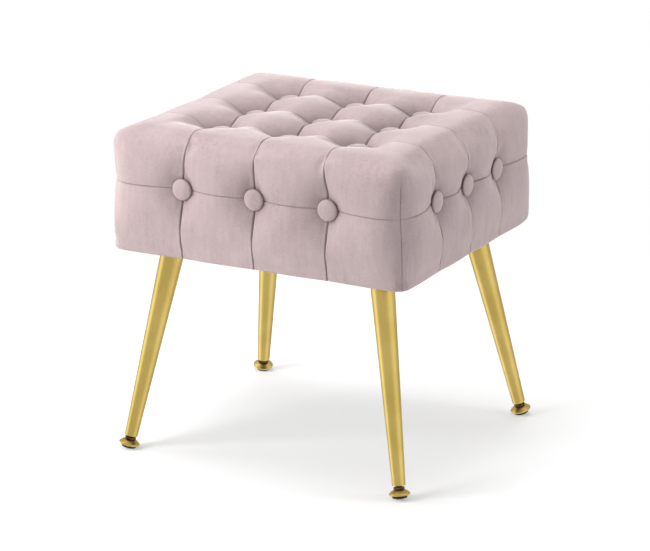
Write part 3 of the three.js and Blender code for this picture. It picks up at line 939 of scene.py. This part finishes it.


# Grooves, ridges and folds of the sewn seams; dark seam lines, partly stitching and partly painted shade in the
# grooves, and painted shade round the buttons
def sewSeams(mesh):
    layout = np.hstack([readRows(mesh.attributes[name].data, "value", 1) for name in layoutNames])
    spot = layOut(layout[:, :3], *layout[:, 3:].T)
    close = bell(spot["crossing"], seams["near"])
    clear = smoothStep(*(button["radius"] * share for share in seams["clearShares"]), spot["crossing"])
    depth = (seams["depth"] + seams["buttonDepth"] * close) * clear
    groove, ridge, shade = np.zeros((3, len(layout)))
    for gap, share in seamLines(spot, layout[:, 2], close):
        groove = np.maximum(groove, share * depth * bell(gap, seams["width"]))
        allowance = bell(gap + seams["ridgePlace"], seams["ridgeWidth"])
        ridge = np.maximum(ridge, share * seams["ridge"] * allowance)
        shade = np.maximum(shade, share * bell(gap, seams["shadeWidth"]))
    # painted shade in the gap at each button's rim, and in the pit round it
    beside = np.maximum(spot["crossing"] - button["radius"] * seams["rimFromShare"], 0)
    paintedPitShading, width = (lerp(*pair, spot["onTop"]) for pair in pick(seams, "paintedPitShade", "paintedPitShadeWidth"))
    paintedPitShades = [np.exp(-beside / seams["rimShadeWidth"]), paintedPitShading * np.exp(-beside / width)]
    shade = np.max([shade, *paintedPitShades], axis=0)
    inward = groove - ridge * clear + foldsAt(spot)
    normals = readRows(mesh.vertex_normals, "vector", 3)
    writePoints(mesh, readRows(mesh.vertices, "co", 3) - normals * inward[:, None])
    writeValues(mesh, "seamLineAndPaintedShade", shade)


hem = {
    "width": 0.025,
    "netShares": (0.2, 0.5),  # rings across it
    "thickness": 0.002,
    "edge": 0.001,
    "cavityTop": 0.0210,  # below the crown
}


# Hem under the frame, and the hollow above it
def hemCover(made):
    bm = bmesh.new()
    bm.from_mesh(made.data)
    wall = overFoam["sides"]
    opening = wall + hem["width"]
    rings = [(lerp(cover["hemRoll"], opening, share), 0) for share in hem["netShares"]]
    rings += [(opening - hem["edge"], 0), (opening, hem["edge"]), (opening, hem["thickness"])]
    rings += [(wall, hem["thickness"]), (wall, tall - hem["cavityTop"])]
    for inset, height in rings:
        rim = [edge for edge in bm.edges if edge.is_boundary]
        grown = bmesh.ops.extrude_edge_only(bm, edges=rim)["geom"]
        for vertex in [item for item in grown if isinstance(item, bmesh.types.BMVert)]:
            for axis, half in enumerate((halfWidth, halfDepth)):
                vertex.co[axis] = min(max(vertex.co[axis], inset - half), half - inset)
            vertex.co.z = underside + height
    closeHoles(bm)
    bm.to_mesh(made.data)
    bm.free()
    for face in made.data.polygons:
        face.use_smooth = True


def makeCover():
    bm, sharp, pitchX, pitchY = coverNet()
    spot = layOut(sharp, pitchX, pitchY)
    z = sharp[:, 2]
    weights = pinWeights(spot, z)
    shrink = cover["shrink"]
    places = shapeCover(sharp, drawnIn(spot) + shrink * (1 - weights), spot)
    for vertex, place in zip(bm.verts, places):
        vertex.co = place
    made = addPiece("velvet_seat_cover", bm, "velvet", "velvet_cover")
    for name, values in zip(layoutNames, (*sharp.T, pitchX, pitchY)):
        writeValues(made.data, name, values)
    swellCover(made, weights, clothCap(spot, z))
    applyModifier(made, "SUBSURF", levels=1, render_levels=1)
    sewSeams(made.data)
    hemCover(made)
    print("seat cover:", len(made.data.polygons), "faces")


makeCover()
for face, facing in facings.items():
    for node in buttonsOf(face):
        makeButton(node, facing)
print("buttons on", len(facings), "faces")


# Legs and glides

turnJoints = {joint["child"]: joint for joint in frame["joints"] if joint["type"] == "hinge"}


# A leg's own frame: origin at the underside, +Z up the leg, +X outward
def legMatrix(short):
    joint = turnJoints["glide_" + short]
    up = -Vector(joint["axis"]).normalized()
    across = Vector((-up.y, up.x, 0)).normalized()
    turn = Matrix((across.cross(up), across, up)).transposed().to_4x4()
    return Matrix.Translation(joint["pos_m"]) @ turn


def onLeg(bm, short):
    bmesh.ops.transform(bm, matrix=legMatrix(short), verts=bm.verts)
    return bm


# Height and radius of a node's points, about the leg's axis
def ringsOf(node, short):
    back = legMatrix(short).inverted()
    points = [back @ vertex.co for vertex in frame["nodes"][node].data.vertices]
    return [(point.z, math.hypot(point.x, point.y)) for point in points]


def reachOf(node, short):
    heights, radii = zip(*ringsOf(node, short))
    return min(heights), max(heights), max(radii)


leg = {
    "wall": 0.0012,
    "rim": 0.0008,
    "shoulder": 0.0016,
    "cap": 0.003,
    "stud": 0.004,
    "tipRadius": 0.0085,
    "studLength": 0.022,
    "sideSteps": 12,
    "steps": 96,
}


def makeLeg(corner, short):
    tip, studTop, topRadius = reachOf(f"leg_{corner}", short)
    top = studTop - leg["studLength"]
    rim, wall, stud, soft, tipRadius = pick(leg, "rim", "wall", "stud", "shoulder", "tipRadius")
    inside = [(0, top - leg["cap"]), (topRadius - wall, top - leg["cap"])]
    lip = arc(tipRadius - wall / 2, tip + wall / 2, wall / 2, -180, 0, 8)
    sideEnds = np.array([(tipRadius, tip + wall), (topRadius, top - soft)])
    side = [lerp(*sideEnds, i / leg["sideSteps"]) for i in range(1, leg["sideSteps"])]
    shoulder = arc(topRadius - soft, top - soft, soft, 0, 90)
    studEnd = [(stud, top), (stud, studTop - rim), (stud - rim, studTop), (0, studTop)]
    bm = turned([*inside, *lip, *side, *shoulder, *studEnd], leg["steps"])
    addPiece(f"brass_leg_{corner}", onLeg(bm, short), "brass_finish", f"leg_{corner}")


glide = {
    "discSeat": 0.0063,
    "bore": 0.0033,
    "rimHeight": 0.0012,
    "underHeight": 0.0024,
    "domeShares": (0.1, 0.25, 0.4, 0.55, 0.68, 0.8, 0.9, 0.96),
    "underShares": (0.0, 0.15, 0.35, 0.6, 0.85, 1.0),
    "hexFlats": 0.013,
    "hexHeight": 0.0032,
    "hexBevel": 0.0005,
    "hexGap": 0.0003,
    "thread": 0.004,
    "threadDepth": 0.0006,
    "threadPitch": 0.00125,
    "threadShares": (0.05, 0.5),  # of the pitch: root and crest
    "runout": 0.001,
    "shank": 0.003,
    "padFlat": 0.004,
    "padEdge": 0.0004,
    "steps": 96,
    "stemSteps": 32,
}


def makeDisc(corner, short):
    low, high, radius = reachOf(f"glide_disc_{corner}", short)
    padRadius = reachOf(f"glide_pad_{corner}", short)[2]
    seat, bore = glide["discSeat"], glide["bore"]
    rimLow = low + glide["underHeight"]
    rimHigh = rimLow + glide["rimHeight"]
    dome, under = [], []
    for share in glide["domeShares"]:
        dome.append((lerp(seat, radius, share), lerp(rimHigh, high, math.cos(share * math.pi / 2))))
    for share in glide["underShares"]:
        under.append((lerp(radius, padRadius, share), lerp(rimLow, low, math.sin(share * math.pi / 2))))
    profile = [(bore, low), (bore, high), (seat, high), *dome, (radius, rimHigh), *under, (bore, low)]
    bm = onLeg(turned(profile, glide["steps"]), short)
    node = f"glide_disc_{corner}"
    addPiece(f"foot_disc_{corner}", bm, "turnedBrass", node, f"glide_{short}")


# Threaded rod with the hexagon on it
def makeStem(corner, short):
    node = f"glide_stem_{corner}"
    low, high, _ = reachOf(node, short)
    hexLow = reachOf(f"glide_disc_{corner}", short)[1] + glide["hexGap"]
    outer, pitch, shank, hexHeight = pick(glide, "thread", "threadPitch", "shank", "hexHeight")
    inner = outer - glide["threadDepth"]
    start = hexLow + hexHeight
    root, crest = glide["threadShares"]
    ridges = []
    for i in range(int((high - glide["runout"] - start) / pitch)):
        ridges += [(inner, start + pitch * (i + root)), (outer, start + pitch * (i + crest))]
    below = [(0, low), (shank, low), (shank, hexLow), (inner, hexLow)]
    bm = turned([*below, *ridges, (shank, high), (0, high)], glide["stemSteps"])
    hexRadius = glide["hexFlats"] / 2 / math.cos(math.pi / 6)
    middle = Matrix.Translation((0, 0, hexLow + hexHeight / 2))
    softenEdges(bm, addPrism(bm, 6, hexRadius, hexHeight, middle), glide["hexBevel"], 3)
    addPiece(f"foot_stem_{corner}", onLeg(bm, short), "dark_steel", node, f"glide_{short}")


# Pad whose sloped band lies on the floor along one line
def makePad(corner, short):
    node = f"glide_pad_{corner}"
    low, high, radius = reachOf(node, short)
    band = min(height for height, wide in ringsOf(node, short) if wide > radius - tiny)
    soft = glide["padEdge"]
    edge = arc(radius - soft, high - soft, soft, 90, 0, 4)
    foot = arc(radius - soft, band + soft, soft, 0, -75, 4)
    bm = turned([(0, high), *edge, *foot, (glide["padFlat"], low), (0, low)], glide["steps"])
    addPiece(f"foot_pad_{corner}", onLeg(bm, short), "black_plastic", node, f"pad_{short}")


for corner, short in corners.items():
    makeLeg(corner, short)
    makeDisc(corner, short)
    makeStem(corner, short)
    makePad(corner, short)
print("legs and glides:", len(corners))


# Foam, plates and lining

padding = {
    "gap": 0.0004,  # to the hollow of the cover
    "padCorner": 0.012,
    "padEdge": 0.006,
    "bandWall": 0.0096,
    "bandCorner": 0.008,
    "channel": 0.0017,  # radius of a tufting cord's way
    "channelLength": 0.12,
}


# Block in the space of a foam's solid, its upright edges softened
def foamBlock(node, corner):
    inset = Vector((1, 1, 0.5)) * padding["gap"]
    low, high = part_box(node)
    bm = block(low + inset, high - inset)
    softenEdges(bm, uprightEdges(bm), corner, 6)
    return bm


# Cuts ways for the tufting cords of a face's buttons
def cutChannels(made, face):
    bm = bmesh.new()
    for node in buttonsOf(face):
        matrix = Matrix.Translation(buttonPlace(node)) @ towards(facings[face])
        addPrism(bm, 16, padding["channel"], padding["channelLength"], matrix)
    combine(made, bm)


def makeFoam():
    bm = foamBlock("foam_top", padding["padCorner"])
    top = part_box("foam_top")[1].z - padding["gap"] / 2
    softenEdges(bm, edgesAt(bm, top), padding["padEdge"])
    pad = addPiece("seat_foam_pad", bm, "foam", "foam_top")
    cutChannels(pad, "top")

    bm = foamBlock("foam_side_band", padding["bandCorner"])
    ends = [face for face in bm.faces if abs(face.normal.z) > 0.5]
    bmesh.ops.delete(bm, geom=ends, context="FACES_ONLY")
    bmesh.ops.solidify(bm, geom=bm.faces, thickness=padding["bandWall"])
    bmesh.ops.recalc_face_normals(bm, faces=bm.faces)
    band = addPiece("seat_foam_band", bm, "foam", "foam_side_band")
    for face in ("front", "back", "left", "right"):
        cutChannels(band, face)


plate = {
    "half": 0.026,
    "top": -0.0003,  # from the underside of the seat
    "bottom": -0.0028,
    "corner": 0.006,
    "edge": 0.0006,
    "boss": 0.011,
    "bead": 0.0014,  # of the weld round the boss
    "bossEnd": -0.0072,
    "bossTop": 0.006,  # cut off at the plate
    "bore": 0.0042,
    "boreEnds": 0.02,
    "screwSpread": 0.018,
}

screw = {
    "head": 0.0036,
    "headHeight": 0.0018,
    "headShares": ((0, 1), (0.5, 1), (0.82, 0.86), (0.97, 0.5), (1, 0.15), (1, 0)),
    "radius": 0.0019,
    "core": 0.0013,
    "neck": 0.0025,
    "threadFrom": 0.003,
    "pitch": 0.0014,
    "length": 0.0155,
    "point": 0.004,
    "slot": (0.0038, 0.0009, 0.0022),
    "turn": 0.7,  # from one screw to the next
}


# Pan-head wood screw with a cross recess; the plate is at height 0
def screwShape():
    radius, core, pitch, threadFrom = pick(screw, "radius", "core", "pitch", "threadFrom")
    profile = [(screw["head"] * wide, -screw["headHeight"] * high) for wide, high in screw["headShares"]]
    profile += [(radius, 0), (radius, screw["neck"])]
    threadEnd = screw["length"] - screw["point"]
    for i in range(int((threadEnd - threadFrom) / pitch)):
        start = threadFrom + i * pitch
        profile += [(core, start), (radius, start + pitch / 2)]
    made = meshObject("screw", turned([*profile, (core, threadEnd), (0, screw["length"])], 20))
    for turn in (0, math.pi / 2):
        bm = bmesh.new()
        top = Matrix.Translation((0, 0, -screw["headHeight"]))
        addBlock(bm, screw["slot"], top @ Matrix.Rotation(turn, 4, "Z"))
        combine(made, bm)
    return made


# Plate with its slanted, threaded boss
def makePlate(corner, short, spot):
    half, low, high, edge = pick(plate, "half", "bottom", "top", "edge")
    bm = block(Vector((-half, -half, low)), Vector((half, half, high)))
    softenEdges(bm, uprightEdges(bm), plate["corner"], 6)
    softenEdges(bm, edgesAt(bm, low), edge, 2)
    bmesh.ops.translate(bm, vec=spot, verts=bm.verts)
    made = addPiece(f"mounting_plate_{corner}", bm, "zinc_plate", f"leg_plate_{corner}", smooth=False)

    boss, bead, end, top = pick(plate, "boss", "bead", "bossEnd", "bossTop")
    weld = boss + 2 * bead
    outline = [(0, top), (weld, top), (weld, low), (boss, low - bead)]
    outline += [(boss, end + edge), (boss - edge, end), (0, end)]
    bm = onLeg(turned(outline, 48), short)
    bisect(bm, spot + Vector((0, 0, (low + high) / 2)), (0, 0, 1), clear_outer=True)
    closeHoles(bm)
    combine(made, bm, "UNION")

    bore, ends = plate["bore"], plate["boreEnds"]
    combine(made, onLeg(turned([(0, ends), (bore, ends), (bore, -ends), (0, -ends)], 32), short))


def makePlates():
    one = screwShape()
    spread = plate["screwSpread"]
    for corner, short in corners.items():
        spot = Vector(turnJoints["glide_" + short]["pos_m"])
        makePlate(corner, short, spot)
        bm = bmesh.new()
        for i, (x, y) in enumerate(((1, 1), (-1, 1), (-1, -1), (1, -1))):
            known = len(bm.verts)
            bm.from_mesh(one.data)
            bm.verts.ensure_lookup_table()
            place = spot + Vector((x * spread, y * spread, plate["bottom"]))
            matrix = Matrix.Translation(place) @ Matrix.Rotation(i * screw["turn"], 4, "Z")
            bmesh.ops.transform(bm, matrix=matrix, verts=bm.verts[known:])
        addPiece(f"plate_screws_{corner}", bm, "zinc_plate", smooth=False)
    bpy.data.objects.remove(one)


staple = {
    "pitch": 0.036,
    "crown": 0.0098,
    "wire": 0.0008,
    "thickness": 0.00056,
    "prong": 0.005,
    "prongFrom": 0.00024,
    "edge": 0.0002,
    "inset": 0.005,  # from the edge of the lining
    "hemInset": 0.031,  # from the seat's side
    "cornerInset": 0.012,
}


def addStaple(bm, place, along):
    crown, wire, thickness, prong = pick(staple, "crown", "wire", "thickness", "prong")
    turn = Matrix.Translation(place) @ Matrix.Rotation(along * math.pi / 2, 4, "Z")
    addBlock(bm, (crown, wire, thickness), turn)
    for side in (-1, 1):
        middle = (side * (crown - wire) / 2, 0, prong / 2 + staple["prongFrom"])
        addBlock(bm, (wire, thickness, prong), turn @ Matrix.Translation(middle))


# Rows of staples along the sides of a rectangle
def stapleRows(half, reach, height):
    bm = bmesh.new()
    for along in (0, 1):
        count = int(2 * reach[along] / staple["pitch"])
        for i in range(count + 1):
            for side in (-1, 1):
                place = Vector((0, 0, height))
                place[along] = lerp(-reach[along], reach[along], i / count)
                place[1 - along] = side * half[1 - along]
                addStaple(bm, place, along)
    softenEdges(bm, bm.edges[:], staple["edge"], 1)
    return bm


liningCut = {
    "thickness": 0.0004,
    "cells": (72, 60),
    "wave": 0.00028,
    "waveSize": (26, 90),
    "fineShare": 0.4,  # of the closer waves
}


# Flat sheet in the space of the lining's solid, without its notched corners
def liningNet(low, high, notch):
    bm = bmesh.new()
    cellsX, cellsY = liningCut["cells"]
    matrix = Matrix.Diagonal((high.x - low.x, high.y - low.y, 1, 1))
    bmesh.ops.create_grid(bm, x_segments=cellsX, y_segments=cellsY, size=0.5, matrix=matrix)
    for side in ("left", "right", "front", "back"):
        across = Vector(facings[side])
        bisect(bm, across * Vector((*notch, 0)), across)
    middles = {face: face.calc_center_median() for face in bm.faces}
    cut = [face for face, middle in middles.items() if all(abs(a) > b for a, b in zip(middle, notch))]
    bmesh.ops.delete(bm, geom=cut, context="FACES")
    return bm


def makeLining():
    low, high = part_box("dust_cover")
    points = frame["nodes"]["dust_cover"].data.vertices
    notch = [min(abs(vertex.co[axis]) for vertex in points) for axis in (0, 1)]
    bm = liningNet(low, high, notch)
    thickness, waving, share, (wide, fine) = pick(liningCut, "thickness", "wave", "fineShare", "waveSize")
    for vertex in bm.verts:
        wave = fieldNoise.noise(vertex.co * wide) + share * fieldNoise.noise(vertex.co * fine)
        vertex.co.z = high.z - thickness - waving * (1 + wave / (1 + share))
    made = addPiece("underside_lining", bm, "lining", "dust_cover")
    applyModifier(made, "SOLIDIFY", thickness=thickness, offset=0)

    half = (high.x - staple["inset"], high.y - staple["inset"])
    reach = [place - staple["cornerInset"] for place in notch]
    height = high.z - thickness * 1.5 - 2 * waving
    staples = addPiece("lining_staples", stapleRows(half, reach, height), "zinc_plate", smooth=False)
    flat = (high.x - low.x, high.y - low.y)
    area = flat[0] * flat[1] - 4 * (high.x - notch[0]) * (high.y - notch[1])

    half = (halfWidth - staple["hemInset"], halfDepth - staple["hemInset"])
    addPiece("hem_staples", stapleRows(half, reach, underside), "zinc_plate", smooth=False)


makeFoam()
makePlates()
makeLining()
print("foam, plates and lining")


# Looks of the pieces that stay as they are
def dressFrame():
    slots = {part["node"]: part["material_slot"] for part in frame["record"]["subparts"]}
    for name, node in frame["nodes"].items():
        node.data.materials.clear()
        node.data.materials.append(looks[slots[name]])


dressFrame()
print("frame pieces dressed")
